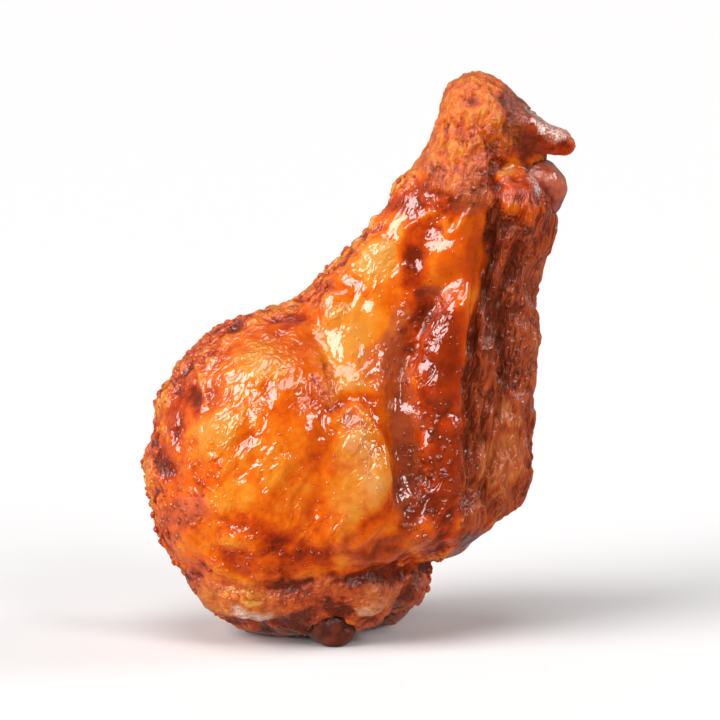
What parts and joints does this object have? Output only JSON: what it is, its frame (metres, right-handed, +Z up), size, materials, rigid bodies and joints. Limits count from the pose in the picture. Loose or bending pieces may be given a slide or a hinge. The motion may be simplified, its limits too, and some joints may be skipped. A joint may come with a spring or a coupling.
{
  "type": "chicken wing drumette",
  "caption": "Glazed, browned chicken drumette standing on its meaty shoulder end, with a leaning shaft, an elbow knuckle, a torn flap of skin and bare cartilage.",
  "frame": {"origin": "on the surface that the piece stands on, under the middle of its box", "axes": "+Z up; -Y is the front, the side with the yellow saddle of skin and the dark furrow; +X towards the side that the shaft leans to"},
  "size_m": [0.062, 0.0396, 0.0823],
  "materials": {
    "glazed_skin": "sticky clear glaze over browned skin, wet sheen",
    "wet_cartilage": "wet and slightly translucent",
    "browned_cartilage": "dark, browned, half glossy"
  },
  "bodies": {
    "root": {"skin_and_meat": "glazed_skin", "elbow_cartilage": "wet_cartilage", "shoulder_cartilage": "browned_cartilage"}
  },
  "joints": []
}
